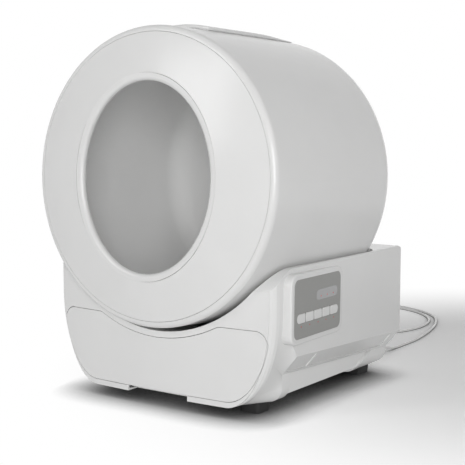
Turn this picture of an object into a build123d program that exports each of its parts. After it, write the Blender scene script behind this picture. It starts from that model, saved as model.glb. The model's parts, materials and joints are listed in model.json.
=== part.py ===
from build123d import *
import os
from math import acos, cos, pi, radians, sin, sqrt, tan

# Self-cleaning litter box: a drum with an oval entrance turns in a base that holds a waste drawer.
# Millimetres and degrees. +Z is up, the entrance faces -Y, and the origin lies on the floor
# under the middle of the footprint. The drum's pieces are drawn about their own axis, which
# runs along Y, and are then tipped nose-up and lifted into the base.

# Drum axis and the space under the drum
axis_tilt = 2.2
under_drum = 128.9

# Drum outside, measured along its axis from the middle
drum_front = -218.0
drum_back = 181.0
widest_at = 127.0
drum_radius = 255.0
barrel_rise = 4.5
front_round = 10.0
back_round = 50.0
shell_wall = 3.0
shell_split = 120.0

# Front bezel and oval entrance
seam_inset = 10.5
bezel_dome_radius = 1132.0
bezel_wall = 3.0
seam_gap = 0.6
entrance_half_width = 147.6
entrance_half_height = 172.4
lip_width = 13.3
lip_forward = 15.5
lip_depth = 14.0
lip_round = 6.5
lip_flange = 8.0
skirt_wall = 3.0
skirt_flare = 20.0

# Litter liner, its standoffs and the sifting rack
liner_gap = 9.0
liner_wall = 2.5
standoff_radius = 8.0
standoff_inset = 32.0
standoff_count = 4
rack_from_angle = 34.0
rack_to_angle = 104.0
rack_thickness = 4.0
rack_front = -150.0
rack_back = 110.0
rack_slot = 13.0
rack_bar = 6.0
rack_rim = 14.0
fit_gap = 0.3

# Waste port, its raised frame and its sliding shutter
port_front = -122.0
port_back = 88.0
port_half_angle = 11.0
frame_front = -136.0
frame_back = 130.0
frame_margin = 4.0
frame_neck = 3.0
frame_lip = 3.5
frame_overhang = 3.0
shutter_wall = 3.0
shutter_lap = 7.0
shutter_travel = 27.0
rail_wall = 2.4
rail_grip = 4.0

# Ring gear, pinion and gear motor
gear_module = 5.0
pinion_teeth = 12
gear_inset = 25.0
pressure_angle = 20.0
backlash = 0.5
ring_width = 14.0
ring_rim = 16.0
ring_floor = 3.0
ring_web = 28.0
pinion_width = 10.0
pinion_bearing = 50.0
motor_shaft_radius = 4.0
running_gap = 0.05
bracket_wall = 3.0
gearbox_width = 60.0
gearbox_height = 44.0
gearbox_depth = 24.0
gearbox_round = 6.0
motor_radius = 11.0
motor_length = 52.0
motor_cap_radius = 6.0
motor_cap = 6.0
gear_screw_count = 6
gear_screw_inset = 20.0
gear_screw_radius = 2.0
gear_screw_head = 3.6
gear_screw_head_height = 2.0

# Hub at the back of the drum
hub_radius = 22.0
hub_flange_radius = 46.0
hub_flange = 5.0
bush_wall = 4.0
bush_length = 12.0
bush_flange_radius = 34.0
bush_flange = 4.0

# Base
base_front = -201.0
base_rear = 246.2
base_inset = 23.0
base_bottom = 20.0
deck_below_axis = 133.9
deck_round = 5.0
rear_round = 8.0
horn_round = 70.0
front_bow = 12.0
front_edge_round = 12.0
edge_steps = 3
shield_corner = 92.0
shield_drop = 70.0
leg_front = -124.0
leg_round = 28.0
base_wall = 3.0
undercut_height = 98.2
undercut_drop = 34.5
undercut_depth = 29.0
undercut_slope = 2.5
recess_front = -100.0
recess_depth = 7.0
recess_rear_low = 137.0
recess_rear_high = 186.0
recess_top = 68.0
recess_top_rear = 56.0
recess_floor_height = 31.0
recess_inset = 82.0
panel_depth = 1.5
panel_margin = 5.0
panel_spans = ((-117.0, -54.0), (-45.0, 218.0))
frame_clearance = 1.0
gear_clearance = 3.0
chute_half_width = 92.0
chute_front = -110.0
chute_back = 76.0

# Rear tower
tower_inset = 61.0
tower_back = 235.0
tower_wall = 3.0
cover_wall = 3.0
cover_screw_angles = (-80, -40, 0, 40, 80)
cover_screw_inset = 11.0
cover_screw_radius = 2.0
cover_screw_head = 3.6
cover_screw_length = 10.0
cover_boss_radius = 6.0

# Feet
foot_length = 40.0
foot_width = 38.0
foot_corner = 8.0
foot_taper = 6.0
front_foot_inset = 83.0
front_foot_at = -121.0
rear_foot_inset = 79.0
rear_foot_at = 222.0

# Support rollers
roller_radius = 16.0
roller_core_radius = 11.0
roller_width = 16.0
roller_at = -157.0
roller_angle = 38.0
roller_gap = 0.3
tyre_round = 2.0
axle_radius = 4.0
cheek = 4.0
roller_side_gap = 1.0
roller_end_gap = 3.0

# Waste drawer
drawer_rim = 10.0
drawer_top = 152.0
scallop_gap = 20.0
scallop_shoulder = 25.0
drawer_corner = 22.0
drawer_gap = 0.9
drawer_skin = 3.5
drawer_back = -183.0
notch_half_width = 64.0
notch_depth = 26.0
bin_inset = 82.0
bin_bottom = 36.0
bin_height = 66.0
bin_length = 316.0
bin_wall = 2.5
bin_round = 18.0
bag_frame_height = 4.0
bag_frame_width = 9.0
runner_width = 14.0
runner_length = 310.0
runner_inset = 32.0

# Control pod on the right side, turned a little so that its front edge stands proud
pod_at = -72.3
pod_below_deck = 66.7
pod_length = 187.0
pod_height = 115.0
pod_turn = 4.0
pod_fall = 1.2
pod_proud = 8.5
pod_round = 19.0
pod_edge = 3.0
pod_wall = 3.0
window_margin = 12.0
face_margin = 9.0
face_thickness = 1.4
face_round = 12.0
button_count = 5
button_row_length = 149.0
button_row_height = 16.0
button_row_height_at = -15.5
button_gap = 0.8
button_proud = 1.0
button_flange = 2.5
button_flange_wall = 1.5
button_rest_gap = 0.5
stem_radius = 3.0
window_length = 79.0
window_height = 18.0
window_along = 33.0
window_height_at = 16.2
lamp_radius = 1.2
lamp_drop = 13.5
lamp_window_drop = 3.0
window_lamp_count = 3
window_lamp_pitch = 23.0
board_depth = 16.0
board_wall = 1.6
switch_size = 6.0
switch_height = 4.0
switch_gap = 1.5
post_radius = 3.5
post_inset = 5.0

# Power inlet, lead and wall adapter
inlet_x = 119.0
inlet_z = 62.0
inlet_radius = 8.0
inlet_flange_radius = 11.0
inlet_depth = 14.0
socket_radius = 4.0
barrel_radius_of_plug = 3.7
barrel_length = 11.0
plug_radius = 6.0
plug_length = 22.0
relief_length = 24.0
relief_end = 3.6
lead_radius = 2.5
lead_height = 2.6
adapter_length = 68.0
adapter_width = 44.0
adapter_height = 34.0
adapter_round = 6.0
adapter_relief = 14.0
adapter_relief_radius = 4.5
prong_length = 17.0
prong_width = 6.3
prong_wall = 1.6
prong_spacing = 12.7

# The lead's way from the plug down to the floor, in Y and Z, and then its turns on the floor
lead_drop = [
    (0.0, inlet_z),
    (30.0, inlet_z),
    (68.0, 31.0),
    (110.0, 11.5),
    (158.0, lead_height),
    (203.0, lead_height),
]
sweep_radius = 760.0
sweep_turn = 22.0
loop_radii = [222.0, 213.5, 205.0]
inward_radius = 90.0
inward_run = 30.0

# Sensor
magnet_radius = 4.0
magnet_height = 4.0
sensor_width = 14.0
sensor_height = 28.0

# Sizes and places that follow from those above
far = 1000.0
axis_height = under_drum + drum_radius
front_edge_radius = drum_radius - barrel_rise
barrel_arc = ((widest_at - drum_front) ** 2 / barrel_rise + barrel_rise) / 2
seam_radius = front_edge_radius - seam_inset
opening_half_width = entrance_half_width - lip_width
opening_half_height = entrance_half_height - lip_width
lip_front = drum_front - lip_forward
lip_back = lip_front + lip_depth
cradle_gap = frame_neck + frame_lip + frame_clearance
gear_back = drum_back + ring_width
bay_back = gear_back + gear_clearance
bracket_front = bay_back + tower_wall
gearbox_front = bracket_front + bracket_wall
ring_teeth = pinion_teeth * round((drum_radius - back_round - gear_inset) / (gear_module * pinion_teeth / 2))
pitch_radius = gear_module * ring_teeth / 2
ring_rim_radius = pitch_radius + ring_rim
ring_web_radius = pitch_radius - ring_web
gear_screw_circle = pitch_radius - gear_screw_inset
gear_screw_seat = drum_back + ring_floor - gear_screw_head_height
standoff_circle = ring_web_radius - standoff_inset
pinion_distance = gear_module * (ring_teeth - pinion_teeth) / 2
pinion_direction = pinion_bearing - 90
pinion_front = drum_back + ring_floor + 1
liner_inset = shell_wall + liner_gap
base_half_width = drum_radius - base_inset
deck_height = axis_height - deck_below_axis
shield_flat = base_half_width - shield_corner
shield_bend_height = deck_height - shield_drop
recess_floor_width = base_half_width - recess_inset
tower_half_width = base_half_width - tower_inset
cover_screw_circle = tower_half_width - cover_screw_inset
scallop_radius = front_edge_radius + scallop_gap
bin_half_width = base_half_width - bin_inset
runner_x = bin_half_width - runner_inset
pod_bay = board_depth + board_wall + pod_wall
drum_place = Pos(0, 0, axis_height) * Rot(-axis_tilt, 0, 0)
pod_middle = (base_half_width + pod_proud, pod_at, deck_height - pod_below_deck)
pod_place = Pos(*pod_middle) * Rot(0, 0, pod_turn) * Rot(-pod_fall, 0, 0)


# Small helpers

def box_between(low, high):
    size = [top - bottom for bottom, top in zip(low, high)]
    middle = [(top + bottom) / 2 for bottom, top in zip(low, high)]
    return Pos(*middle) * Box(*size)


def slab(sketch, front, back):
    """Extrude a front-view sketch, drawn in X and Z, from one Y to another."""
    return extrude(Plane.XZ.offset(-back) * sketch, back - front)


def side_slab(sketch, inner, outer):
    """Extrude a side-view sketch, drawn in Y and Z, from one X to another."""
    return extrude(Plane.YZ.offset(inner) * sketch, outer - inner)


def rod(radius, front, back):
    return slab(Circle(radius), front, back)


def about_axis(angle, piece):
    """Turn a piece about the drum axis, from the top towards the right."""
    return Rot(0, angle, 0) * piece


def both_sides(piece):
    return piece + mirror(piece, Plane.YZ)


# Drum forms

def barrel_radius(along):
    return drum_radius - barrel_arc + sqrt(barrel_arc ** 2 - (along - widest_at) ** 2)


def drum_form(inset):
    """The drum's outside as a solid, moved in by inset, or out where it is negative."""
    front = drum_front + inset
    back = drum_back - inset
    middle = (front + back) / 2
    corners = [(barrel_radius(along) - inset, along) for along in (front, middle, back)]
    outline = make_face(
        Polyline((0, back), (0, front), corners[0])
        + ThreePointArc(*corners)
        + Line(corners[2], (0, back))
    )
    front_corner = outline.vertices().sort_by_distance(corners[0])[0]
    outline = fillet(front_corner, max(front_round - inset, 1))
    back_corner = outline.vertices().sort_by_distance(corners[2])[0]
    outline = fillet(back_corner, back_round - inset)
    return revolve(outline, Axis.Y)


def band(outer_inset, inner_inset):
    return drum_form(outer_inset) - drum_form(inner_inset)


def sector(front, back, half_angle, centre_angle=0.0):
    """A wedge about the drum axis, between two places along it, centred that far from the top."""
    face = Pos(far / 4, (front + back) / 2) * Rectangle(far / 2, back - front)
    wedge = revolve(face, Axis.Y, revolution_arc=2 * half_angle)
    return Rot(0, centre_angle - half_angle - 90, 0) * wedge


def angle_of(length):
    """The angle that a length covers on the drum's outside."""
    return length / drum_radius * 180 / pi


def port_window():
    return sector(port_front, port_back, port_half_angle)


def make_drum_shell():
    shell = band(0, shell_wall) & rod(far / 2, -far, shell_split)
    shell -= rod(seam_radius, -far, drum_front + 2 * shell_wall)
    return shell - port_window()


def gear_screw_places(piece):
    step = 360 / gear_screw_count
    return [about_axis(step * i, Pos(0, 0, gear_screw_circle) * piece) for i in range(gear_screw_count)]


def make_drum_back():
    back = band(0, shell_wall) & rod(far / 2, shell_split, far)
    standoff = rod(standoff_radius, drum_back - liner_inset, drum_back - shell_wall)
    for index in range(standoff_count):
        angle = 360 * (index + 0.5) / standoff_count
        back += about_axis(angle, Pos(0, 0, standoff_circle) * standoff)
    back -= gear_screw_places(rod(gear_screw_radius, 0, far))
    return back - rod(hub_radius, 0, far)


def bezel_front_at(radius):
    """Place along the axis of the domed bezel face at a radius."""
    rim_depth = sqrt(bezel_dome_radius ** 2 - seam_radius ** 2)
    return drum_front + rim_depth - sqrt(bezel_dome_radius ** 2 - radius ** 2)


def dome_layer(front, back):
    """A domed disc behind the bezel's front face, between two depths, with the opening's width cut out."""
    rim = seam_radius - seam_gap
    inner = opening_half_width
    face = [(radius, bezel_front_at(radius) + front) for radius in (inner, (rim + inner) / 2, rim)]
    rear = [(radius, along + back - front) for radius, along in reversed(face)]
    outline = make_face(
        ThreePointArc(*face) + Line(face[2], rear[0]) + ThreePointArc(*rear) + Line(rear[2], face[0])
    )
    return revolve(outline, Axis.Y)


def oval(grow):
    """The entrance's clear oval, grown all round."""
    return Ellipse(opening_half_width + grow, opening_half_height + grow)


def oval_flare(grow_front, front, grow_back, back):
    return loft([Plane.XZ.offset(-front) * oval(grow_front), Plane.XZ.offset(-back) * oval(grow_back)])


def make_front_bezel():
    return dome_layer(0, bezel_wall) - slab(oval(lip_width), -far, 0)


def make_entrance_ring():
    """A round lip in the bezel's oval, a flange behind the bezel and a skirt that opens out to the liner."""
    bead_width = lip_width - seam_gap
    bead = slab(oval(bead_width), lip_front, lip_back) - slab(oval(0), -far, 0)
    inner_edges = [edges.sort_by(SortBy.LENGTH)[0] for edges in bead.edges().group_by(Axis.Y)]
    ring = fillet(inner_edges, lip_round)
    flange = dome_layer(bezel_wall, 2 * bezel_wall) & slab(oval(lip_width + lip_flange), -far, 0)
    ring += flange - slab(oval(lip_width / 2), -far, 0)
    skirt_back = drum_front + liner_inset
    skirt = oval_flare(bead_width, lip_back - 1, skirt_flare + skirt_wall, skirt_back)
    skirt -= oval_flare(bead_width - skirt_wall, lip_back - 1, skirt_flare, skirt_back)
    return ring + skirt


def make_litter_liner():
    return band(liner_inset, liner_inset + liner_wall) - slab(oval(skirt_flare), -far, 0) - port_window()


def make_sifting_rack():
    """A slatted flat screen across the liner, between two angles from the top."""
    reach = drum_radius - liner_inset - liner_wall
    half_span = radians(rack_to_angle - rack_from_angle) / 2
    half_chord = reach * sin(half_span)
    plate = Box(2 * half_chord + 2 * rack_rim, rack_back - rack_front, rack_thickness)
    pitch = rack_slot + rack_bar
    count = int((rack_back - rack_front - 2 * rack_rim) / pitch)
    slots = GridLocations(0, pitch, 1, count) * SlotOverall(2 * half_chord - 2 * rack_rim, rack_slot)
    plate -= [extrude(slot, rack_thickness, both=True) for slot in slots]
    placed = Pos(0, (rack_front + rack_back) / 2, reach * cos(half_span) - rack_thickness / 2) * plate
    inside = drum_form(liner_inset + liner_wall + fit_gap)
    return about_axis((rack_from_angle + rack_to_angle) / 2, placed) & inside


def frame_block(shrink, low, high):
    """A raised patch on the drum round the port, drawn in from the frame's edge, between two heights."""
    half_angle = port_half_angle + angle_of(frame_margin + frame_overhang - shrink)
    return band(-high, -low) & sector(frame_front + shrink, frame_back - shrink, half_angle)


def make_port_frame():
    neck = frame_block(frame_overhang, 0, frame_neck)
    lip = frame_block(0, frame_neck, frame_neck + frame_lip)
    return neck + lip - port_window()


shutter_front = port_front - shutter_lap
shutter_back = port_back + shutter_lap
shutter_half_angle = port_half_angle + angle_of(shutter_lap)
shutter_inset = shell_wall + (liner_gap - shutter_wall) / 2


def make_waste_shutter():
    wedge = sector(shutter_front, shutter_back, shutter_half_angle)
    return band(shutter_inset, shutter_inset + shutter_wall) & wedge


def make_shutter_rails():
    """Two channels inside the shell that hold the shutter's front and back edges."""
    middle = shutter_travel / 2
    half_angle = shutter_half_angle + middle + 1
    groove_inner = shutter_inset + shutter_wall + fit_gap
    channel = band(shell_wall, liner_inset)
    path = sector(shutter_front - fit_gap, shutter_back + fit_gap, half_angle + 1, middle)
    groove = band(shutter_inset - fit_gap, groove_inner) & path
    outer_reach = fit_gap + rail_wall
    front_rail = sector(shutter_front - outer_reach, shutter_front + rail_grip, half_angle, middle)
    back_rail = sector(shutter_back - rail_grip, shutter_back + outer_reach, half_angle, middle)
    return [(channel & rail) - groove for rail in (front_rail, back_rail)]


# Gears

def involute(angle):
    return tan(angle) - angle


def gear_face(teeth, addendum, dedendum, thickening):
    """Spur gear outline with its first tooth on +X; thickening widens each tooth at the pitch line."""
    pitch = gear_module * teeth / 2
    base = pitch * cos(radians(pressure_angle))
    half_tooth = pi / (2 * teeth) + thickening / (2 * pitch)
    flank = [pitch - dedendum * gear_module, pitch, pitch + addendum * gear_module]

    def half_angle(radius):
        return half_tooth + involute(radians(pressure_angle)) - involute(acos(min(base / radius, 1.0)))

    points = []
    for tooth in range(teeth):
        centre = 2 * pi * tooth / teeth
        rising = [(radius, centre - half_angle(radius)) for radius in flank]
        falling = [(radius, centre + half_angle(radius)) for radius in reversed(flank)]
        points += [(radius * cos(turn), radius * sin(turn)) for radius, turn in rising + falling]
    return make_face(Polyline(*points, close=True))


def at_pinion(piece):
    turn = radians(pinion_direction)
    return Pos(pinion_distance * cos(turn), 0, pinion_distance * sin(turn)) * piece


def make_ring_gear():
    """Internal gear: a dished ring whose teeth point inwards, meshing with the pinion below the hub."""
    ring = rod(ring_rim_radius, drum_back, gear_back)
    teeth = Rot(0, 0, pinion_direction) * gear_face(ring_teeth, 1.25, 1.0, backlash)
    ring -= slab(teeth, drum_back + ring_floor, far)
    ring -= rod(ring_web_radius, 0, far)
    ring -= gear_screw_places(rod(gear_screw_head + fit_gap, gear_screw_seat, far))
    return ring - gear_screw_places(rod(gear_screw_radius, 0, far))


def make_gear_screws():
    """Screws whose heads lie sunk in the ring's floor, clear of the pinion."""
    screw = rod(gear_screw_radius - running_gap, drum_back - shell_wall, gear_screw_seat)
    screw += rod(gear_screw_head, gear_screw_seat, drum_back + ring_floor)
    return gear_screw_places(screw)


def make_drive_pinion():
    teeth = Rot(0, 0, pinion_direction) * gear_face(pinion_teeth, 1.0, 1.25, -backlash)
    body = slab(teeth, pinion_front, pinion_front + pinion_width)
    return at_pinion(body - rod(motor_shaft_radius, 0, far))


shaft_back = gearbox_front + gearbox_depth / 2


def make_motor_shaft():
    return at_pinion(rod(motor_shaft_radius, pinion_front, shaft_back))


def make_gearbox():
    block = Box(gearbox_width, gearbox_depth, gearbox_height)
    block = fillet(block.edges().filter_by(Axis.Y), gearbox_round)
    block = Pos(0, gearbox_front + gearbox_depth / 2, 0) * block
    return at_pinion(block - rod(motor_shaft_radius + running_gap, 0, shaft_back + fit_gap))


def make_drive_motor():
    """The motor lies crosswise beside the gearbox, towards the middle of the tower."""
    from_end = (Align.CENTER, Align.CENTER, Align.MIN)
    can = Cylinder(motor_radius, motor_length, align=from_end)
    can += Cylinder(motor_cap_radius, motor_length + motor_cap, align=from_end)
    return at_pinion(Pos(-gearbox_width / 2, gearbox_front + gearbox_depth / 2, 0) * Rot(0, -90, 0) * can)


def make_motor_bracket():
    plate = slab(RectangleRounded(gearbox_width, gearbox_height, gearbox_round), bracket_front, gearbox_front)
    return at_pinion(plate - rod(2 * motor_shaft_radius, 0, far))


def make_hub_shaft():
    shaft = rod(hub_radius - 2 * running_gap, drum_back - shell_wall, bay_back + tower_wall + bush_length)
    return shaft + rod(hub_flange_radius, drum_back, drum_back + hub_flange)


def make_hub_bush():
    sleeve = rod(hub_radius + bush_wall, bay_back, bay_back + tower_wall + bush_length)
    sleeve += rod(bush_flange_radius, bracket_front, bracket_front + bush_flange)
    return sleeve - rod(hub_radius - running_gap, 0, far)


def make_position_magnets():
    disc = Pos(0, 0, standoff_circle) * rod(magnet_radius, drum_back, drum_back + magnet_height)
    return [disc, about_axis(180, disc)]


def make_position_sensor():
    return Pos(0, bay_back - magnet_height / 2, standoff_circle) * Box(sensor_width, magnet_height, sensor_height)


# Rollers under the drum

roller_distance = barrel_radius(roller_at) + roller_gap + roller_radius
roller_half = roller_width / 2
bracket_half = roller_half + roller_side_gap + cheek
roller_space = roller_radius + roller_end_gap


def at_roller(side, piece):
    return about_axis(-side * roller_angle, Pos(0, roller_at, -roller_distance) * piece)


def make_roller_core():
    return rod(roller_core_radius, -roller_half, roller_half) - rod(axle_radius + running_gap, -far, far)


def make_roller_tyre():
    tyre = rod(roller_radius, -roller_half, roller_half)
    tyre = fillet(tyre.edges().filter_by(GeomType.CIRCLE), tyre_round)
    return tyre - rod(roller_core_radius, -far, far)


def make_roller_axle():
    return rod(axle_radius, -bracket_half, bracket_half)


def make_roller_bracket(side):
    """Two cheeks on a web, hung under the cradle's wall and shaped to it."""
    block = box_between((-roller_space, -bracket_half, -roller_space - cheek),
                        (roller_space, bracket_half, roller_distance))
    room = roller_half + roller_side_gap
    block -= box_between((-far, -room, -roller_space), (far, room, far))
    block -= rod(axle_radius, -far, far)
    return at_roller(side, block) - cradle_form(cradle_gap + base_wall)


def roller_slot(side):
    room = roller_half + roller_side_gap
    return at_roller(side, box_between((-roller_space, -room, -roller_space), (roller_space, room, roller_distance)))


# Base

def cradle_form(gap):
    """Space that the turning drum and its gear need, with a gap all round, in drum places."""
    return drum_form(-gap) + rod(ring_rim_radius + gap, 0, bay_back + gap - cradle_gap)


def axis_height_at(along):
    return axis_height - along * tan(radians(axis_tilt))


def half_section(inset, side_inset, bend_height, corner, flat):
    """Right half of a front-view section of the base; corner runs from the side down to the flat bottom."""
    half = base_half_width - side_inset
    top = deck_height - inset
    low = base_bottom + inset
    small = max(deck_round - inset, 1)
    edges = [
        Line((flat, low), (0, low)),
        Line((0, low), (0, top)),
        Line((0, top), (half - small, top)),
        CenterArc((half - small, top - small), small, 0, 90),
        Line((half, top - small), (half, bend_height)),
    ]
    return make_face(edges + corner)


def shield_half(inset, side_inset):
    """Section at the front: one wide elliptical corner."""
    width = base_half_width - side_inset - shield_flat
    height = shield_bend_height - base_bottom - inset
    step = 90 / 3
    corner = [
        EllipticalCenterArc((shield_flat, shield_bend_height), width, height,
                            start_angle=-step * (part + 1), arc_size=step)
        for part in range(3)
    ]
    return half_section(inset, side_inset, shield_bend_height, corner, shield_flat)


def bend_height(along):
    """Height at which the side begins to slant in."""
    return undercut_height - along * tan(radians(undercut_slope))


def leg_half(inset, along):
    """Section behind the front: the side slants in, falling towards the rear, and stands on a round foot."""
    half = base_half_width - inset
    low_half = half - undercut_depth
    slope = undercut_drop / undercut_depth
    lift = inset * (sqrt(1 + slope ** 2) - slope)
    bend = bend_height(along) + lift
    foot_height = base_bottom + leg_round
    corner = [
        Line((half, bend), (low_half, bend - undercut_drop)),
        Line((low_half, bend - undercut_drop), (low_half, foot_height)),
        CenterArc((low_half - leg_round + inset, foot_height), leg_round - inset, -90, 90),
    ]
    return half_section(inset, inset, bend, corner, low_half - leg_round + inset)


def plan_form(inset):
    """Plan of the base with its gently bowed front, as a tall prism."""
    half = base_half_width
    front = base_front + inset
    side_front = front + front_bow
    outline = make_face(
        ThreePointArc((-half, side_front), (0, front), (half, side_front))
        + Polyline((half, side_front), (half, base_rear - inset), (-half, base_rear - inset), (-half, side_front))
    )
    return extrude(outline, far)


def side_profile(inset):
    """Side view of the base with its round front and rear top edges, as a prism across X."""
    front = base_front - 1 + inset
    rear = base_rear - inset
    horn = horn_round - inset
    small = rear_round - inset
    horn_height = deck_height - horn_round
    rear_height = deck_height - rear_round
    outline = make_face(
        Polyline((rear, rear_height), (rear, -1), (front, -1), (front, horn_height))
        + CenterArc((front + horn, horn_height), horn, 90, 90)
        + Line((front + horn, deck_height - inset), (rear - small, deck_height - inset))
        + CenterArc((rear - small, rear_height), small, 0, 90)
    )
    return side_slab(outline, -far, far)


def base_form(inset):
    """The base's outside as a solid, moved in by inset."""
    side_front = base_front + front_bow
    steps = [90 - 90 * step / edge_steps for step in range(edge_steps + 1)]
    rounded = [
        (side_front + rounded_by(inset, sin(radians(turn))), rounded_by(inset, cos(radians(turn)))) for turn in steps
    ]
    fronts = [(base_front, rounded[0][1])] + rounded
    sections = [Plane.XZ.offset(-along) * shield_half(inset, side_inset) for along, side_inset in fronts]
    sections += [Plane.XZ.offset(-along) * leg_half(inset, along) for along in (leg_front, base_rear)]
    return both_sides(loft(sections, ruled=True)) & plan_form(inset) & side_profile(inset)


def rounded_by(inset, part):
    """How far the round front edge has come in, for that part of its radius."""
    return front_edge_round - (front_edge_round - inset) * part


def leg_recess(grow):
    """The recess between the front and rear legs: a deeper side wall and a raised underside."""
    wall = grown(make_face(Polyline(
        (recess_front, -1), (recess_front, recess_top), (recess_rear_high, recess_top_rear),
        (recess_rear_low, recess_floor_height), (recess_rear_low, -1), close=True)), grow)
    floor = grown(make_face(Polyline(
        (recess_front, -1), (recess_front, recess_floor_height), (recess_rear_low, recess_floor_height),
        (recess_rear_low, -1), close=True)), grow)
    wall_x = base_half_width - undercut_depth - recess_depth - grow
    return both_sides(side_slab(wall, wall_x, far) + side_slab(floor, recess_floor_width - grow, far))


def grown(sketch, amount):
    """A sketch moved out all round, with its corners kept sharp."""
    return offset(sketch, amount, kind=Kind.INTERSECTION) if amount else sketch


def side_panels():
    """What two shallow panels take out of the slanted lower side."""
    cut = []
    for span in panel_spans:
        tops = [bend_height(along) - panel_margin for along in span]
        lows = [bend_height(along) - undercut_drop + panel_margin for along in span]
        corners = list(zip(span, tops)) + list(zip(span, lows))[::-1]
        cut.append(side_slab(make_face(Polyline(*corners, close=True)), base_half_width / 2, far))
    return both_sides(cut[0] + cut[1:]) - base_form(panel_depth)


def bottom_faces(form):
    return form.faces().filter_by(Axis.Z).group_by(Axis.Z)[0]


def base_hollow():
    """The base's inside, with its open bottom, before the cradle is kept out of it."""
    hollow = base_form(base_wall)
    hollow += [extrude(face, base_wall) for face in bottom_faces(hollow)]
    return hollow - leg_recess(base_wall)


def drawer_face(grow):
    """Front view of the drawer: the base's own outline drawn in, with a scallop under the drum."""
    inset = drawer_rim - grow
    half = base_half_width - inset
    low = base_bottom + inset
    top = drawer_top + grow
    radius = scallop_radius - grow
    scallop_height = axis_height_at(base_front)
    outline = both_sides(shield_half(inset, inset)) & Pos(0, (low + top) / 2) * Rectangle(2 * half, top - low)
    outline -= Pos(0, scallop_height) * Circle(radius)
    drop = (shield_bend_height - top) / (shield_bend_height - low)
    corner_x = shield_flat + (half - shield_flat) * sqrt(1 - drop ** 2)
    shoulder_x = sqrt(radius ** 2 - (scallop_height - top) ** 2)
    for x, size in ((corner_x, drawer_corner), (shoulder_x, scallop_shoulder)):
        for side in (-1, 1):
            corner = outline.vertices().sort_by_distance((side * x, top))[0]
            outline = fillet(corner, size)
    return outline


def finger_notch():
    return box_between((-notch_half_width, base_front - 1, 0),
                       (notch_half_width, base_front + notch_depth, base_bottom + drawer_rim))


def tower_face(inset):
    """Front view of the tower: straight sides under a round top about the drum axis."""
    half = tower_half_width - inset
    return Circle(half) + Pos(0, -axis_height / 2) * Rectangle(2 * half, axis_height)


def above_deck(piece):
    return piece - box_between((-far, -far, -far), (far, far, deck_height))


def pod_window(grow):
    size = (pod_length - 2 * window_margin + 2 * grow, pod_height - 2 * window_margin + 2 * grow)
    return RectangleRounded(*size, face_round)


def inlet_hole():
    return Pos(inlet_x, 0, inlet_z) * rod(inlet_radius, base_rear - 2 * base_wall, base_rear + 1)


def make_base_shell():
    hollow = base_hollow() - drum_place * cradle_form(cradle_gap + base_wall)
    shell = base_form(0) - leg_recess(0) - hollow
    shell -= drum_place * cradle_form(cradle_gap)
    shell -= slab(drawer_face(drawer_gap), -far, drawer_back)
    shell -= finger_notch()
    shell -= box_between((-chute_half_width, chute_front, 0), (chute_half_width, chute_back, axis_height))
    for side in (-1, 1):
        shell -= drum_place * roller_slot(side)
    shell -= drum_place * slab(tower_face(tower_wall), bracket_front, tower_back)
    shell -= drum_place * at_pinion(rod(2 * motor_shaft_radius, 0, bracket_front))
    shell -= pod_place * side_slab(pod_window(0), -pod_bay, far / 10)
    shell -= side_panels()
    return shell - inlet_hole()


def make_base_floor():
    plate = Part() + [extrude(face, base_wall) for face in bottom_faces(base_form(base_wall))]
    return plate - leg_recess(base_wall) - finger_notch()


def make_rubber_feet():
    pad = extrude(RectangleRounded(foot_width, foot_length, foot_corner), -base_bottom, taper=foot_taper)
    front = base_half_width - front_foot_inset
    rear = base_half_width - rear_foot_inset
    places = [(x, y) for half, y in ((front, front_foot_at), (rear, rear_foot_at)) for x in (-half, half)]
    return [Pos(x, y, base_bottom) * pad for x, y in places]


def cover_screw_places(piece):
    return [about_axis(angle, Pos(0, 0, cover_screw_circle) * piece) for angle in cover_screw_angles]


def make_rear_tower():
    tower = slab(tower_face(0), bay_back, tower_back) - slab(tower_face(tower_wall), bracket_front, far)
    tower += cover_screw_places(rod(cover_boss_radius, bay_back, tower_back))
    tower -= cover_screw_places(rod(cover_screw_radius, bracket_front, far))
    tower -= rod(hub_radius + bush_wall, 0, far)
    tower -= at_pinion(rod(2 * motor_shaft_radius, 0, far))
    return above_deck(drum_place * tower)


def make_rear_cover():
    cover = slab(tower_face(0), tower_back, tower_back + cover_wall)
    cover -= cover_screw_places(rod(cover_screw_radius, 0, far))
    return above_deck(drum_place * cover)


def make_cover_screws():
    seat = tower_back + cover_wall
    screw = rod(cover_screw_radius - running_gap, seat - cover_screw_length, seat)
    screw += rod(cover_screw_head, seat, seat + cover_screw_radius)
    return cover_screw_places(screw)


# Waste drawer

def make_drawer_front():
    front = slab(drawer_face(0), -far, drawer_back) & base_form(0)
    pocket = slab(drawer_face(-drawer_skin), -far, far) & Pos(0, drawer_skin, 0) * plan_form(0)
    return front - pocket


def bin_block(grow, low, high):
    plan = RectangleRounded(2 * bin_half_width + 2 * grow, bin_length + 2 * grow, bin_round + grow)
    return extrude(Pos(0, drawer_back + bin_length / 2, low) * plan, high - low)


def make_waste_bin():
    top = bin_bottom + bin_height
    tray = bin_block(0, bin_bottom, top) - bin_block(-bin_wall, bin_bottom + bin_wall, far)
    front = box_between((-bin_half_width, drawer_back, bin_bottom),
                        (bin_half_width, drawer_back + bin_wall, top))
    return tray + front


def make_bag_frame():
    top = bin_bottom + bin_height
    ring = bin_block(-fit_gap, top, top + bag_frame_height)
    return ring - bin_block(-bag_frame_width, top - 1, far)


def make_drawer_runner(side):
    low = base_bottom + base_wall
    return box_between((side * runner_x - runner_width / 2, drawer_back + bin_wall, low),
                       (side * runner_x + runner_width / 2, drawer_back + runner_length, bin_bottom - fit_gap))


# Control pod, drawn about the middle of its face with X pointing out of it

def pod_rectangle(margin, corner):
    return RectangleRounded(pod_length - 2 * margin, pod_height - 2 * margin, corner)


def outside_base(piece):
    return pod_place.inverse() * (pod_place * piece - base_form(0))


def button_row(shrink):
    row = SlotOverall(button_row_length - 2 * shrink, button_row_height - 2 * shrink)
    return Pos(0, button_row_height_at) * row


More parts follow.
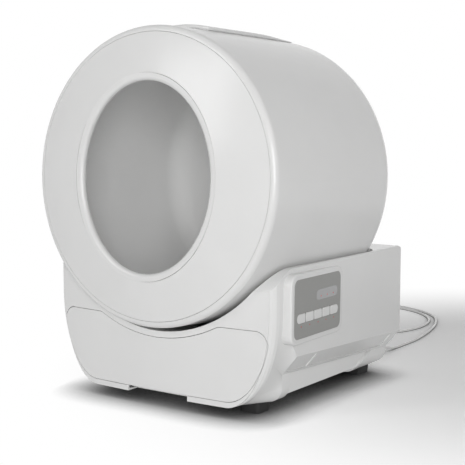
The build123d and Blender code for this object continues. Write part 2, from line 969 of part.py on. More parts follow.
def indicator_place(sketch):
    return Pos(window_along, window_height_at) * sketch


def lamp_places():
    pitch = button_row_length / button_count
    under_buttons = [
        (pitch * (index - (button_count - 1) / 2), button_row_height_at - lamp_drop) for index in range(button_count)
    ]
    in_window = [
        (window_along + window_lamp_pitch * (index - (window_lamp_count - 1) / 2), window_height_at - lamp_window_drop)
        for index in range(window_lamp_count)
    ]
    return under_buttons + in_window


def lamp_holes():
    return [side_slab(Pos(*place) * Circle(lamp_radius), -face_thickness, far / 10) for place in lamp_places()]


def post_places():
    y = pod_length / 2 - window_margin - post_inset - post_radius
    z = pod_height / 2 - window_margin - post_inset - post_radius
    return [(i * y, k * z) for i in (-1, 1) for k in (-1, 1)]


def make_control_pod():
    block = side_slab(pod_rectangle(0, pod_round), -far / 20, 0)
    block = fillet(block.edges().group_by(Axis.X)[-1], pod_edge)
    pod = outside_base(block)
    pod += side_slab(pod_window(-fit_gap), -pod_proud - 2 * base_wall, -pod_proud / 2)
    pod -= side_slab(pod_rectangle(face_margin, face_round), -face_thickness, far / 10)
    cavity = pod_window(-pod_wall)
    pod -= side_slab(cavity, -far / 20, -face_thickness - pod_wall)
    for place in post_places():
        pod += side_slab(Pos(*place) * Circle(post_radius), -board_depth, -face_thickness)
    return pod - side_slab(button_row(0), -far / 20, far / 20)


def make_control_face():
    face = side_slab(pod_rectangle(face_margin + fit_gap, face_round - fit_gap), -face_thickness, 0)
    face -= side_slab(button_row(0), -far / 20, far / 20)
    face -= side_slab(indicator_place(SlotOverall(window_length, window_height)), -far / 20, far / 20)
    return face - lamp_holes()


def make_indicator_window():
    outline = SlotOverall(window_length - fit_gap, window_height - fit_gap)
    return side_slab(indicator_place(outline), -face_thickness, 0) - lamp_holes()


def make_status_lamps():
    return [side_slab(Pos(*place) * Circle(lamp_radius - running_gap), -face_thickness, running_gap)
            for place in lamp_places()]


def button_y(index):
    return button_row_length / button_count * (index - (button_count - 1) / 2)


def make_button(index):
    """A cap in the shared slot, a flange behind the pod's wall that keeps it in, and a stem to its switch."""
    pitch = button_row_length / button_count
    cell = Pos(button_y(index), button_row_height_at) * Rectangle(pitch - button_gap, 2 * button_row_height)
    flange_front = -face_thickness - pod_wall - button_rest_gap
    flange_back = flange_front - button_flange_wall
    cap = side_slab(button_row(button_gap / 2) & cell, flange_front, button_proud)
    cap = fillet(cap.edges().group_by(Axis.X)[-1], button_gap / 2)
    flange = Rectangle(pitch - 2 * button_gap, button_row_height + 2 * button_flange)
    cap += side_slab(Pos(button_y(index), button_row_height_at) * flange, flange_back, flange_front)
    stem_back = -board_depth + switch_height + switch_gap
    return cap + side_slab(Pos(button_y(index), button_row_height_at) * Circle(stem_radius), stem_back, flange_back)


def make_control_board():
    return side_slab(pod_rectangle(window_margin + pod_wall, face_round), -board_depth - board_wall, -board_depth)


def make_tact_switches():
    switch = Rectangle(switch_size, switch_size)
    return [side_slab(Pos(button_y(index), button_row_height_at) * switch, -board_depth, -board_depth + switch_height)
            for index in range(button_count)]


# Power inlet, lead and wall adapter

def make_dc_inlet():
    wall_inside = base_rear - base_wall
    inlet = rod(inlet_radius - running_gap, base_rear - inlet_depth, base_rear)
    inlet += rod(inlet_flange_radius, wall_inside - base_wall, wall_inside)
    return Pos(inlet_x, 0, inlet_z) * (inlet - rod(socket_radius, base_rear - inlet_depth + base_wall, far))


plug_back = base_rear + fit_gap + plug_length
relief_back = plug_back + relief_length


def make_power_plug():
    plug = rod(plug_radius, base_rear + fit_gap, plug_back)
    plug += rod(barrel_radius_of_plug, base_rear - barrel_length, base_rear + 1)
    taper = Cone(plug_radius - 1, relief_end, relief_length, align=(Align.CENTER, Align.CENTER, Align.MIN))
    plug += Pos(0, plug_back, 0) * Rot(-90, 0, 0) * taper
    return Pos(inlet_x, 0, inlet_z) * plug


def bend_radii(points):
    """Bend radius at each inner point: close to half of the shorter run beside it."""
    radii = []
    for before, here, after in zip(points, points[1:], points[2:]):
        arriving = Vector(*here) - Vector(*before)
        leaving = Vector(*after) - Vector(*here)
        turn = radians(arriving.get_angle(leaving))
        radii.append(0.45 * min(arriving.length, leaving.length) / tan(turn / 2))
    return radii


def lead_drop_points():
    """From the plug's relief down to the floor."""
    return [(inlet_x, relief_back + along, height) for along, height in lead_drop]


def arc_on_floor(start, heading, radius, turn):
    """A left-hand bend on the floor: its curve, and the place where it ends."""
    facing = radians(heading)
    centre = (start[0] - radius * sin(facing), start[1] + radius * cos(facing))
    curve = Pos(0, 0, lead_height) * CenterArc(centre, radius, heading - 90, turn)
    ending = radians(heading + turn)
    return curve, (centre[0] + radius * sin(ending), centre[1] - radius * cos(ending))


def lead_turns():
    """The bends of the loops on the floor, each with its radius and how far it turns."""
    first = loop_radii[0]
    turns = [(sweep_radius, sweep_turn), (first, 180 - sweep_turn)]
    turns += [(radius, 180) for radius in loop_radii[1:]]
    return turns + [(inward_radius, 90)]


def lead_path():
    points = lead_drop_points()
    curves = [FilletPolyline(*points, radius=bend_radii(points))]
    place = points[-1][:2]
    heading = 90.0
    for radius, turn in lead_turns():
        curve, place = arc_on_floor(place, heading, radius, turn)
        curves.append(curve)
        heading += turn
    last = (place[0] + inward_run, place[1], lead_height)
    curves.append(Line((*place, lead_height), last))
    return curves, last


lead_curves, lead_end = lead_path()


def least_gap_of_loops(curves):
    """Least clear distance between neighbouring turns of the lead, measured on points."""
    turns = [[curve @ (step / 90) for step in range(91)] for curve in curves[1:]]
    gaps = []
    for index, turn in enumerate(turns):
        for other in turns[index + 2:]:
            gaps.append(min((a - b).length for a in turn for b in other))
    return min(gaps) - 2 * lead_radius


def make_power_lead():
    path = Wire([edge for curve in lead_curves for edge in curve.edges()])
    start = lead_drop_points()[0]
    tube = sweep(Plane(start, z_dir=path % 0) * Circle(lead_radius), path=path)
    print("lead length", round(path.length), "volume over section", round(tube.volume / (pi * lead_radius ** 2)))
    print("lead bend radii", [round(radius, 1) for radius in bend_radii(lead_drop_points())])
    print("least gap between loops", round(least_gap_of_loops(lead_curves), 1))
    return tube


def make_wall_adapter():
    x, y, z = lead_end
    from_end = (Align.CENTER, Align.CENTER, Align.MIN)
    relief = Rot(0, 90, 0) * Cylinder(adapter_relief_radius, adapter_relief, align=from_end)
    body = Box(adapter_length, adapter_width, adapter_height, align=(Align.MIN, Align.CENTER, Align.MIN))
    body = fillet(body.edges(), adapter_round)
    relief_height = adapter_relief_radius + lead_height - lead_radius
    return Pos(x, y, 0) * (Pos(0, 0, relief_height) * relief + Pos(adapter_relief, 0, lead_height - lead_radius) * body)


def make_adapter_prongs():
    x, y, z = lead_end
    start = x + adapter_relief + adapter_length
    prong = Box(prong_length, prong_wall, prong_width, align=(Align.MIN, Align.CENTER, Align.CENTER))
    return [Pos(start, y + side * prong_spacing / 2, adapter_height / 2) * prong for side in (-1, 1)]


# Everything, by node

def drum_pieces():
    return {
        "drum_shell": make_drum_shell(),
        "drum_back": make_drum_back(),
        "front_bezel": make_front_bezel(),
        "entrance_ring": make_entrance_ring(),
        "litter_liner": make_litter_liner(),
        "sifting_rack": make_sifting_rack(),
        "port_frame": make_port_frame(),
        "shutter_rails": make_shutter_rails(),
        "waste_shutter": make_waste_shutter(),
        "ring_gear": make_ring_gear(),
        "gear_screws": make_gear_screws(),
        "hub_shaft": make_hub_shaft(),
        "position_magnets": make_position_magnets(),
        "drive_pinion": make_drive_pinion(),
        "motor_shaft": make_motor_shaft(),
        "gearbox": make_gearbox(),
        "drive_motor": make_drive_motor(),
        "motor_bracket": make_motor_bracket(),
        "hub_bush": make_hub_bush(),
        "position_sensor": make_position_sensor(),
        "cover_screws": make_cover_screws(),
    }


def roller_pieces():
    pieces = {}
    for name, side in (("left", -1), ("right", 1)):
        pieces["roller_core_" + name] = at_roller(side, make_roller_core())
        pieces["roller_tyre_" + name] = at_roller(side, make_roller_tyre())
        pieces["roller_axle_" + name] = at_roller(side, make_roller_axle())
        pieces["roller_bracket_" + name] = make_roller_bracket(side)
    return pieces


def pod_pieces():
    pieces = {
        "control_pod": make_control_pod(),
        "control_face": make_control_face(),
        "indicator_window": make_indicator_window(),
        "status_lamps": make_status_lamps(),
        "control_board": make_control_board(),
        "tact_switches": make_tact_switches(),
    }
    for index in range(button_count):
        pieces["button_" + str(index + 1)] = make_button(index)
    return pieces


def standing_pieces():
    return {
        "base_shell": make_base_shell(),
        "base_floor": make_base_floor(),
        "rubber_feet": make_rubber_feet(),
        "rear_tower": make_rear_tower(),
        "rear_cover": make_rear_cover(),
        "drawer_front": make_drawer_front(),
        "waste_bin": make_waste_bin(),
        "bag_frame": make_bag_frame(),
        "drawer_runner_left": make_drawer_runner(-1),
        "drawer_runner_right": make_drawer_runner(1),
        "dc_inlet": make_dc_inlet(),
        "power_plug": make_power_plug(),
        "power_lead": make_power_lead(),
        "wall_adapter": make_wall_adapter(),
        "adapter_prongs": make_adapter_prongs(),
    }


def solids_of(piece):
    pieces = piece if isinstance(piece, list) else [piece]
    return [solid for item in pieces for solid in item.solids()]


def placed_nodes():
    placed = [(Location(), standing_pieces()), (drum_place, drum_pieces()), (drum_place, roller_pieces()),
              (pod_place, pod_pieces())]
    return {node: [place * solid for solid in solids_of(piece)]
            for place, pieces in placed for node, piece in pieces.items()}


def main():
    os.makedirs("parts", exist_ok=True)
    for node, solids in placed_nodes().items():
        shape = solids[0] if len(solids) == 1 else Compound(children=solids)
        shape.label = node
        export_step(shape, "parts/" + node + ".step")
        print(node, len(solids), all(solid.is_valid for solid in solids), round(shape.volume))


main()
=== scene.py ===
import json
import math

import bmesh
import bpy
from mathutils import Matrix, Vector


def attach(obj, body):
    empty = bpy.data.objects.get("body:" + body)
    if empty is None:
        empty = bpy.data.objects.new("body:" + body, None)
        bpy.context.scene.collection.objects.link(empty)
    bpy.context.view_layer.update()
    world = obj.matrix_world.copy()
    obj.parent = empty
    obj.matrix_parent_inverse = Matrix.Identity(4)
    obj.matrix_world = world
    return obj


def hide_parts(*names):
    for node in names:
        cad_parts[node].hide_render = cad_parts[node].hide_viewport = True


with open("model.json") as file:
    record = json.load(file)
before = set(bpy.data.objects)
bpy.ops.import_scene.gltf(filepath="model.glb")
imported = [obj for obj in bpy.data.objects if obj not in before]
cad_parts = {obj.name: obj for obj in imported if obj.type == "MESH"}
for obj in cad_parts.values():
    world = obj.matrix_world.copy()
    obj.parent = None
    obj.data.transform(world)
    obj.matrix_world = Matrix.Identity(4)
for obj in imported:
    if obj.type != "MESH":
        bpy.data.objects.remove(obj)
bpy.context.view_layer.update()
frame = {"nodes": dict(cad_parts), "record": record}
nodes = frame["nodes"]
drum_joint = next(joint for joint in frame["record"]["behaviour"]["joints"] if joint["name"] == "drum_spin")

# Camera, in metres and degrees
camera_place = Vector((1.1585, -1.6255, 0.4985))
camera_turn = 35.1
camera_dip = 6.2
camera_lens = 85.2
camera_sensor = 36.0
camera_reach = 60.0

# Power lead, in metres and degrees
lead_diameter = 0.005
lead_height = 0.0026
lead_drop = [
    (0.119, 0.2925, 0.062),
    (0.119, 0.3225, 0.062),
    (0.119, 0.3605, 0.031),
    (0.119, 0.4025, 0.0115),
    (0.119, 0.4505, lead_height),
    (0.119, 0.4955, lead_height),
]
lead_turns = [(0.760, 22), (0.222, 158), (0.2135, 180), (0.205, 180), (0.090, 90)]
lead_inward_run = 0.030
lead_step = 11.25
lead_round_steps = 5
lead_curve_steps = 8

# Raised rim round the waste port, in metres and degrees: how far along the drum and how wide it is
drum_radius = 0.255
drum_widest_at = 0.127
drum_barrel_radius = 13.227
port_front = -0.122
port_back = 0.088
port_corner = 0.002
port_half_angle = 11.0
port_half_width = math.radians(port_half_angle) * drum_radius
rim_front = -0.136
rim_back = 0.130
rim_margin = 0.007
rim_half_width = port_half_width + rim_margin
rim_corner = 0.006
rim_height = 0.0065
rim_back_height = 0.0020
rim_falls_from = 0.030

# Section through the rim from its outer foot over its top to its inner foot: on the outer side how far
# in from its outline, on the inner side how far out from the port, and how high over the drum
rim_outer_section = [
    (0.0030, -0.0005), (0.0030, 0.0009), (0.0004, 0.0009), (0.0, 0.0015), (0.0, 0.0045),
    (0.0007, 0.0059), (0.0022, rim_height),
]
rim_inner_section = [(0.0012, rim_height), (0.0, 0.0056), (0.0, -0.0005)]

# Fineness of outlines, and the angle in degrees from which an edge is left sharp
corner_steps = 6
edge_steps = 16
sharp_edge = 50.0

# Push buttons, in metres and degrees: where the control pod is, their row on it, and their shape
pod_middle = (0.2405, -0.0723, 0.1833)
pod_turn = 4.0
pod_fall = 1.2
button_names = ["button_1", "button_2", "button_3", "button_4", "button_5"]
button_pitch = 0.0298
button_row_at = -0.0155
button_row_end = 0.0741
cap_half_height = 0.0076
cap_gap = 0.0034
cap_corner = 0.0026
cap_end_corner = 0.0072
flange_front = -0.0049
flange_back = -0.0064
flange_half_height = 0.0105
flange_half_width = 0.0141
flange_corner = 0.0010
stem_back = -0.0105
stem_half_width = 0.0030
stem_corner = 0.0028
web_half_height = 0.0081
web_half_width = 0.0014
web_corner = 0.0004

# Sections of a cap and of a web: how far in from the outline, and how far out from the face of the pod
cap_section = [
    (0.0, flange_front), (0.0, 0.0), (0.0001, 0.0003), (0.0003, 0.0005), (0.0007, 0.0006), (0.0012, 0.0006),
]
web_section = [(0.0, -0.0014), (0.0, -0.0004), (0.0002, -0.0001)]

# Plastics: colour, roughness and strength of the moulded grain
plastics = {
    "white_plastic": ((0.80, 0.80, 0.795), 0.20, 0.04),
    "liner_grey": ((0.92, 0.92, 0.915), 0.60, 0.15),
    "panel_grey": ((0.335, 0.335, 0.325), 0.45, 0.05),
    "window_grey": ((0.46, 0.46, 0.465), 0.22, 0.02),
    "button_white": ((0.80, 0.80, 0.795), 0.38, 0.05),
    "rubber_dark": ((0.022, 0.022, 0.022), 0.75, 0.30),
    "gear_plastic": ((0.20, 0.20, 0.21), 0.45, 0.10),
    "dark_plastic": ((0.05, 0.05, 0.052), 0.50, 0.15),
    "board_green": ((0.05, 0.20, 0.10), 0.40, 0.05),
    "bin_grey": ((0.55, 0.55, 0.56), 0.55, 0.12),
    "lead_pale": ((0.76, 0.76, 0.755), 0.42, 0.03),
}
plastic_mottle = 0.012
plastic_mottle_scale = 9.0
plastic_gloss_spread = 0.04
plastic_gloss_scale = 40.0
grain_scale = 1400.0
grain_detail = 4.0
grain_depth = 0.00005
mottle_detail = 2.0
mottle_from = 0.3
mottle_to = 0.7

# Metals: colour and roughness
metals = {
    "steel": ((0.60, 0.60, 0.61), 0.32),
    "bush_bronze": ((0.55, 0.40, 0.20), 0.38),
}
metal_mottle = 0.04
metal_mottle_scale = 60.0
metal_gloss_spread = 0.06
metal_gloss_scale = 150.0

# Lit lens: colour and glow
lens_colour = (0.70, 0.10, 0.08)
lens_glow = 0.15
lens_roughness = 0.25
lens_mottle = 0.05
lens_mottle_scale = 200.0

# Studio, in metres and watts: each lamp's place, size and power
world_light = 0.29
lamp_target = (0.0, 0.0, 0.35)
lamps = {
    "key": ((2.2, -2.95, 0.85), 1.4, 53.0),
    "front": ((-1.15, -2.5, 1.25), 0.95, 10.0),
    "side": ((3.2, -1.0, 1.9), 1.6, 8.0),
    "back": ((-0.8, 3.0, 1.6), 1.6, 40.0),
}
floor_size = 24.0
floor_middle = (0.42, 0.50, 0.0)
floor_colour = 0.95
floor_seen_colour = 1.40
floor_white_from = 0.36
floor_white_to = 1.0
# Reach, strength and samples of the ambient occlusion that darkens the seen floor close under the object:
# painted shade
floor_shade_reach = 0.07
floor_shade_power = 1.5
floor_shade_samples = 8

# Which material each CAD piece has that is shown as it is
slots = {
    "white_plastic": (
        "base_shell", "base_floor", "rear_tower", "rear_cover", "control_pod",
        "drum_shell", "drum_back", "front_bezel", "entrance_ring", "drawer_front",
    ),
    "liner_grey": ("litter_liner", "sifting_rack", "waste_shutter"),
    "panel_grey": ("control_face",),
    "window_grey": ("indicator_window",),
    "lamp_red": ("status_lamps",),
    "rubber_dark": ("rubber_feet", "roller_tyre_left", "roller_tyre_right"),
    "gear_plastic": (
        "ring_gear", "drive_pinion", "hub_shaft", "shutter_rails",
        "roller_core_left", "roller_core_right", "roller_bracket_left", "roller_bracket_right",
        "drawer_runner_left", "drawer_runner_right",
    ),
    "dark_plastic": ("gearbox", "dc_inlet", "position_sensor", "tact_switches"),
    "steel": (
        "drive_motor", "motor_shaft", "motor_bracket", "cover_screws", "gear_screws",
        "roller_axle_left", "roller_axle_right", "position_magnets", "adapter_prongs",
    ),
    "board_green": ("control_board",),
    "bush_bronze": ("hub_bush",),
    "bin_grey": ("waste_bin", "bag_frame"),
    "lead_pale": ("power_plug", "wall_adapter"),
}


# Materials

def new_material(name):
    """An empty principled material: its node tree and its shader."""
    material = bpy.data.materials.new(name)
    material.use_nodes = True
    tree = material.node_tree
    return material, tree, tree.nodes["Principled BSDF"]


def noise(tree, scale, detail=mottle_detail):
    """A noise texture fixed to the object, in metres."""
    place = tree.nodes.new("ShaderNodeTexCoord")
    texture = tree.nodes.new("ShaderNodeTexNoise")
    texture.inputs["Scale"].default_value = scale
    texture.inputs["Detail"].default_value = detail
    tree.links.new(place.outputs["Object"], texture.inputs["Vector"])
    return texture


def vary_colour(tree, shader, colour, spread, scale):
    """Colour that drifts a little round its mean from place to place."""
    texture = noise(tree, scale)
    ramp = tree.nodes.new("ShaderNodeValToRGB")
    low, high = ramp.color_ramp.elements
    low.position = mottle_from
    high.position = mottle_to
    low.color = (*[part * (1 - spread) for part in colour], 1)
    high.color = (*[part * (1 + spread) for part in colour], 1)
    tree.links.new(texture.outputs["Fac"], ramp.inputs["Fac"])
    tree.links.new(ramp.outputs["Color"], shader.inputs["Base Color"])


def vary_roughness(tree, shader, roughness, spread, scale):
    """Roughness that drifts a little round its mean from place to place."""
    texture = noise(tree, scale)
    span = tree.nodes.new("ShaderNodeMapRange")
    span.inputs["To Min"].default_value = roughness - spread
    span.inputs["To Max"].default_value = roughness + spread
    tree.links.new(texture.outputs["Fac"], span.inputs["Value"])
    tree.links.new(span.outputs["Result"], shader.inputs["Roughness"])


def add_grain(tree, shader, scale, strength, depth):
    """Fine moulded grain as a bump."""
    texture = noise(tree, scale, grain_detail)
    bump = tree.nodes.new("ShaderNodeBump")
    bump.inputs["Strength"].default_value = strength
    bump.inputs["Distance"].default_value = depth
    tree.links.new(texture.outputs["Fac"], bump.inputs["Height"])
    tree.links.new(bump.outputs["Normal"], shader.inputs["Normal"])


def plastic(name, colour, roughness, grain):
    """Moulded plastic with a slight mottle and a fine grain."""
    material, tree, shader = new_material(name)
    vary_colour(tree, shader, colour, plastic_mottle, plastic_mottle_scale)
    vary_roughness(tree, shader, roughness, plastic_gloss_spread, plastic_gloss_scale)
    add_grain(tree, shader, grain_scale, grain, grain_depth)
    return material


def metal(name, colour, roughness):
    """Plain machined metal."""
    material, tree, shader = new_material(name)
    shader.inputs["Metallic"].default_value = 1.0
    vary_colour(tree, shader, colour, metal_mottle, metal_mottle_scale)
    vary_roughness(tree, shader, roughness, metal_gloss_spread, metal_gloss_scale)
    return material


def lens(name, colour, glow):
    """A small lit lens."""
    material, tree, shader = new_material(name)
    vary_colour(tree, shader, colour, lens_mottle, lens_mottle_scale)
    shader.inputs["Roughness"].default_value = lens_roughness
    shader.inputs["Emission Color"].default_value = (*colour, 1)
    shader.inputs["Emission Strength"].default_value = glow
    return material


def make_materials():
    """All materials by name."""
    materials = {name: plastic(name, *values) for name, values in plastics.items()}
    for name, values in metals.items():
        materials[name] = metal(name, *values)
    materials["lamp_red"] = lens("lamp_red", lens_colour, lens_glow)
    return materials


def dress(piece, slot, materials):
    """Gives a piece the material of the slot that it belongs to."""
    piece.data.materials.clear()
    piece.data.materials.append(materials[slot])


# Power lead

def floor_arc(place, heading, radius, turn):
    """Points outside a left-hand arc on the floor, whose quadratic curve runs along it."""
    centre = place + radius * Vector((-math.sin(heading), math.cos(heading)))
    steps = max(2, round(turn / lead_step))
    step = math.radians(turn) / steps
    reach = radius / math.cos(step / 2)
    points = []
    for number in range(steps):
        angle = heading - math.pi / 2 + (number + 0.5) * step
        points.append(centre + reach * Vector((math.cos(angle), math.sin(angle))))
    end_heading = heading + math.radians(turn)
    end = centre + radius * Vector((math.sin(end_heading), -math.cos(end_heading)))
    return points, end, end_heading


def lead_points():
    """The route: straight out of the plug, down to the floor, then round in loose loops."""
    points = [Vector(point) for point in lead_drop]
    place = Vector(points[-1][:2])
    heading = math.pi / 2
    for radius, turn in lead_turns:
        arc, place, heading = floor_arc(place, heading, radius, turn)
        points.extend(Vector((*point, lead_height)) for point in arc)
    points.append(Vector((*place, lead_height)))
    points.append(Vector((place.x + lead_inward_run, place.y, lead_height)))
    return points


def make_lead(materials):
    """A round tube along the route, with the plug and the adapter at its ends."""
    points = lead_points()
    curve = bpy.data.curves.new("mains_lead", "CURVE")
    curve.dimensions = "3D"
    # The tube's radius is this depth times the radius at each point.
    curve.bevel_depth = 1.0
    curve.bevel_resolution = lead_round_steps
    curve.use_fill_caps = True
    spline = curve.splines.new("NURBS")
    spline.points.add(len(points) - 1)
    for control, point in zip(spline.points, points):
        control.co = (*point, 1.0)
        control.radius = lead_diameter / 2
    spline.order_u = 3
    spline.use_endpoint_u = True
    spline.resolution_u = lead_curve_steps
    lead = bpy.data.objects.new("mains_lead", curve)
    bpy.context.scene.collection.objects.link(lead)
    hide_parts("power_lead")
    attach(lead, "base")
    dress(lead, "lead_pale", materials)


# Pieces skinned over outlines

def rounded_outline(half_width, front, back, front_corner, back_corner):
    """Points round a rectangle with round corners, as places across and along it."""
    ends = [
        (half_width - back_corner, back - back_corner, back_corner),
        (back_corner - half_width, back - back_corner, back_corner),
        (front_corner - half_width, front + front_corner, front_corner),
        (half_width - front_corner, front + front_corner, front_corner),
    ]
    points = []
    for number, (across, along, corner) in enumerate(ends):
        for step in range(corner_steps + 1):
            angle = math.radians(90) * (number + step / corner_steps)
            points.append((across + corner * math.cos(angle), along + corner * math.sin(angle)))
        first = points[-1]
        turn = math.radians(90) * (number + 1)
        next_across, next_along, next_corner = ends[(number + 1) % len(ends)]
        last = (next_across + next_corner * math.cos(turn), next_along + next_corner * math.sin(turn))
        for step in range(1, edge_steps):
            part = step / edge_steps
            points.append((first[0] + part * (last[0] - first[0]), first[1] + part * (last[1] - first[1])))
    return points


def skin_piece(name, loops, capped):
    """A piece skinned over its loops: a body with an end face at both ends, or else a closed ring."""
    count = len(loops[0])
    faces = []
    for ring in range(len(loops) - 1 if capped else len(loops)):
        after = (ring + 1) % len(loops)
        for step in range(count):
            following = (step + 1) % count
            faces.append((ring * count + step, ring * count + following,
                          after * count + following, after * count + step))
    if capped:
        last = (len(loops) - 1) * count
        faces.append(tuple(range(count)))
        faces.append(tuple(range(last, last + count)))
    mesh = bpy.data.meshes.new(name)
    mesh.from_pydata([point for loop in loops for point in loop], [], faces)
    work = bmesh.new()
    work.from_mesh(mesh)
    bmesh.ops.recalc_face_normals(work, faces=work.faces)
    work.to_mesh(mesh)
    work.free()
    mesh.shade_smooth()
    mesh.set_sharp_from_angle(angle=math.radians(sharp_edge))
    piece = bpy.data.objects.new(name, mesh)
    bpy.context.scene.collection.objects.link(piece)
    return piece


# Waste port

def smooth_step(low, high, value):
    """A soft step from 0 at the low value to 1 at the high one."""
    part = min(1.0, max(0.0, (value - low) / (high - low)))
    return part * part * (3 - 2 * part)


def on_drum(width, along, height):
    """A point over the barrel of the drum: round it, along its axis and above its surface."""
    axis = Vector(drum_joint["axis"]).normalized()
    side = Vector((1, 0, 0))
    up = side.cross(axis)
    off = along - drum_widest_at
    radius = drum_radius - drum_barrel_radius + math.sqrt(drum_barrel_radius ** 2 - off ** 2)
    fall = smooth_step(rim_falls_from, rim_back, along)
    radius += height * (1 - fall * (1 - rim_back_height / rim_height))
    angle = width / drum_radius
    outwards = math.sin(angle) * side + math.cos(angle) * up
    return Vector(drum_joint["pos_m"]) + along * axis + radius * outwards


def rim_loops():
    """Outlines of the rim from its foot outside, over the top, to its foot inside."""
    outlines = []
    for inset, height in rim_outer_section:
        corner = rim_corner - inset
        front = rim_front + inset
        back = rim_back - inset
        outlines.append((height, rounded_outline(rim_half_width - inset, front, back, corner, corner)))
    for grow, height in rim_inner_section:
        corner = port_corner + grow
        front = port_front - grow
        back = port_back + grow
        outlines.append((height, rounded_outline(port_half_width + grow, front, back, corner, corner)))
    return [[on_drum(across, along, height) for across, along in outline] for height, outline in outlines]


def make_port_rim(materials):
    """The rim follows the barrel and runs out flat towards the back."""
    rim = skin_piece("port_rim", rim_loops(), capped=False)
    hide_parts("port_frame")
    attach(rim, "drum")
    dress(rim, "white_plastic", materials)


# Push buttons

def on_pod(outline, depth):
    """Points of an outline in the button row, at a depth from the face of the control pod."""
    turn = Matrix.Rotation(math.radians(pod_turn), 4, "Z") @ Matrix.Rotation(math.radians(-pod_fall), 4, "X")
    place = Matrix.Translation(pod_middle) @ turn
    return [place @ Vector((depth, along, across + button_row_at)) for across, along in outline]


def square_loop(middle, half_height, half_width, corner, depth):
    """A rectangle in the button row with four like corners."""
    outline = rounded_outline(half_height, middle - half_width, middle + half_width, corner, corner)
    return on_pod(outline, depth)


def button_loops(index):
    """Outlines of a button from the end of its stem over its flange to its cap."""
    middle = button_pitch * (index - (len(button_names) - 1) / 2)
    front = middle - (button_pitch - cap_gap) / 2
    back = middle + (button_pitch - cap_gap) / 2
    front_corner = cap_corner
    back_corner = cap_corner
    if index == 0:
        front = -button_row_end
        front_corner = cap_end_corner
    if index == len(button_names) - 1:
        back = button_row_end
        back_corner = cap_end_corner
    loops = [square_loop(middle, stem_half_width, stem_half_width, stem_corner, depth)
             for depth in (stem_back, flange_back)]
    loops += [square_loop(middle, flange_half_height, flange_half_width, flange_corner, depth)
              for depth in (flange_back, flange_front)]
    for inset, depth in cap_section:
        outline = rounded_outline(
            cap_half_height - inset, front + inset, back - inset, front_corner - inset, back_corner - inset
        )
        loops.append(on_pod(outline, depth))
    return loops


def web_loops(middle):
    """Outlines of a web from behind the face to its front."""
    loops = []
    for inset, depth in web_section:
        half_height = web_half_height - inset
        half_width = web_half_width - inset
        loops.append(square_loop(middle, half_height, half_width, web_corner - inset, depth))
    return loops


def make_buttons(materials):
    """Rounded caps that stand for the CAD buttons, and the webs of the face between them."""
    for index, name in enumerate(button_names):
        cap = skin_piece(name + "_cap", button_loops(index), capped=True)
        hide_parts(name)
        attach(cap, name)
        dress(cap, "button_white", materials)
    for index in range(1, len(button_names)):
        middle = button_pitch * (index - len(button_names) / 2)
        web = skin_piece("button_web_" + str(index), web_loops(middle), capped=True)
        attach(web, "base")
        dress(web, "panel_grey", materials)


# Stage

def background_rays(tree):
    """1 for what the camera sees directly, in a reflection or through a clear piece."""
    path = tree.nodes.new("ShaderNodeLightPath")
    seen = path.outputs["Is Camera Ray"]
    for name in ("Is Glossy Ray", "Is Transmission Ray"):
        either = tree.nodes.new("ShaderNodeMath")
        either.operation = "MAXIMUM"
        tree.links.new(seen, either.inputs[0])
        tree.links.new(path.outputs[name], either.inputs[1])
        seen = either.outputs[0]
    return seen


def make_world():
    """Soft light from all round, with a plain white background."""
    world = bpy.data.worlds.new("studio")
    bpy.context.scene.world = world
    world.use_nodes = True
    tree = world.node_tree
    tree.nodes.clear()
    soft = tree.nodes.new("ShaderNodeBackground")
    soft.inputs["Strength"].default_value = world_light
    white = tree.nodes.new("ShaderNodeBackground")
    white.inputs["Strength"].default_value = 1.0
    for shader in (soft, white):
        shader.inputs["Color"].default_value = (1, 1, 1, 1)
    mix = tree.nodes.new("ShaderNodeMixShader")
    output = tree.nodes.new("ShaderNodeOutputWorld")
    tree.links.new(background_rays(tree), mix.inputs[0])
    tree.links.new(soft.outputs[0], mix.inputs[1])
    tree.links.new(white.outputs[0], mix.inputs[2])
    tree.links.new(mix.outputs[0], output.inputs["Surface"])


def floor_fade(tree):
    """0 close to the object and 1 far away on the floor."""
    place = tree.nodes.new("ShaderNodeTexCoord")
    reach = tree.nodes.new("ShaderNodeVectorMath")
    reach.operation = "LENGTH"
    span = tree.nodes.new("ShaderNodeMapRange")
    span.interpolation_type = "SMOOTHSTEP"
    span.inputs["From Min"].default_value = floor_white_from
    span.inputs["From Max"].default_value = floor_white_to
    tree.links.new(place.outputs["Object"], reach.inputs[0])
    tree.links.new(reach.outputs["Value"], span.inputs["Value"])
    return span.outputs["Result"]


def floor_shade(tree):
    """1 on the open floor and darker close under the object by ambient occlusion: painted shade."""
    near = tree.nodes.new("ShaderNodeAmbientOcclusion")
    near.inputs["Distance"].default_value = floor_shade_reach
    near.samples = floor_shade_samples
    deep = tree.nodes.new("ShaderNodeMath")
    deep.operation = "POWER"
    deep.inputs[1].default_value = floor_shade_power
    tree.links.new(near.outputs["AO"], deep.inputs[0])
    return deep.outputs[0]


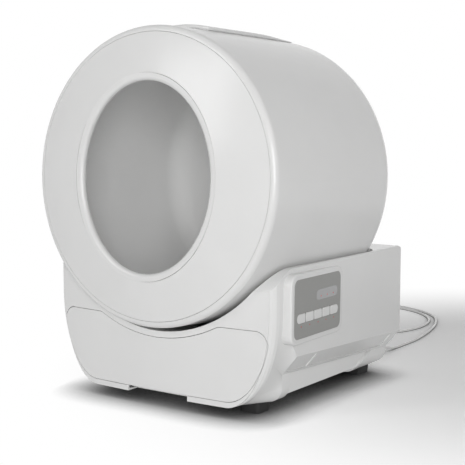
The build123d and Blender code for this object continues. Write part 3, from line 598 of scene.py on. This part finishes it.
def make_floor():
    """White floor that keeps the object's shadow, with painted shade close under the object, and goes over
    into the white background.
    """
    bpy.ops.mesh.primitive_plane_add(size=floor_size, location=floor_middle)
    floor = bpy.context.object
    floor.name = "studio_floor"
    material = bpy.data.materials.new("studio_floor")
    material.use_nodes = True
    tree = material.node_tree
    tree.nodes.clear()
    plain = tree.nodes.new("ShaderNodeBsdfDiffuse")
    plain.inputs["Color"].default_value = (floor_colour, floor_colour, floor_colour, 1)
    seen = tree.nodes.new("ShaderNodeBsdfDiffuse")
    # The seen floor colour and its white glow are darkened close under the object: painted shade
    shade = floor_shade(tree)
    scale = tree.nodes.new("ShaderNodeMath")
    scale.operation = "MULTIPLY"
    scale.inputs[1].default_value = floor_seen_colour
    tree.links.new(shade, scale.inputs[0])
    tree.links.new(scale.outputs[0], seen.inputs["Color"])
    white = tree.nodes.new("ShaderNodeEmission")
    tree.links.new(shade, white.inputs["Strength"])
    fade = tree.nodes.new("ShaderNodeMixShader")
    mix = tree.nodes.new("ShaderNodeMixShader")
    output = tree.nodes.new("ShaderNodeOutputMaterial")
    tree.links.new(floor_fade(tree), fade.inputs[0])
    tree.links.new(seen.outputs[0], fade.inputs[1])
    tree.links.new(white.outputs[0], fade.inputs[2])
    tree.links.new(background_rays(tree), mix.inputs[0])
    tree.links.new(plain.outputs[0], mix.inputs[1])
    tree.links.new(fade.outputs[0], mix.inputs[2])
    tree.links.new(mix.outputs[0], output.inputs["Surface"])
    floor.data.materials.append(material)
    return floor


def make_lamp(name, place, size, power):
    """A square soft box that faces the object."""
    light = bpy.data.lights.new(name, "AREA")
    light.size = size
    light.energy = power
    box = bpy.data.objects.new(name, light)
    box.location = place
    box.rotation_mode = "QUATERNION"
    box.rotation_quaternion = (Vector(lamp_target) - Vector(place)).to_track_quat("-Z", "Y")
    bpy.context.scene.collection.objects.link(box)
    return box


def spare_floor(box, floor):
    """Keeps a lamp's light off the floor and out of reflections."""
    spared = bpy.data.collections.new("spared_floor")
    spared.objects.link(floor)
    spared.collection_objects[0].light_linking.link_state = "EXCLUDE"
    box.light_linking.receiver_collection = spared
    box.visible_glossy = False


def make_lights(floor):
    boxes = {name: make_lamp(name, *values) for name, values in lamps.items()}
    spare_floor(boxes["back"], floor)


def make_camera():
    """The photo's view."""
    turn = math.radians(camera_turn)
    dip = math.radians(camera_dip)
    ahead = Vector((-math.sin(turn) * math.cos(dip), math.cos(turn) * math.cos(dip), -math.sin(dip)))
    data = bpy.data.cameras.new("camera")
    data.sensor_width = camera_sensor
    data.lens = camera_lens
    data.clip_end = camera_reach
    camera = bpy.data.objects.new("camera", data)
    camera.location = camera_place
    camera.rotation_mode = "QUATERNION"
    camera.rotation_quaternion = ahead.to_track_quat("-Z", "Y")
    bpy.context.scene.collection.objects.link(camera)
    bpy.context.scene.camera = camera


def main():
    materials = make_materials()
    for slot, names in slots.items():
        for name in names:
            dress(nodes[name], slot, materials)
    make_lead(materials)
    make_port_rim(materials)
    make_buttons(materials)
    make_world()
    make_lights(make_floor())
    make_camera()
    bpy.context.scene.view_settings.view_transform = "Standard"


main()
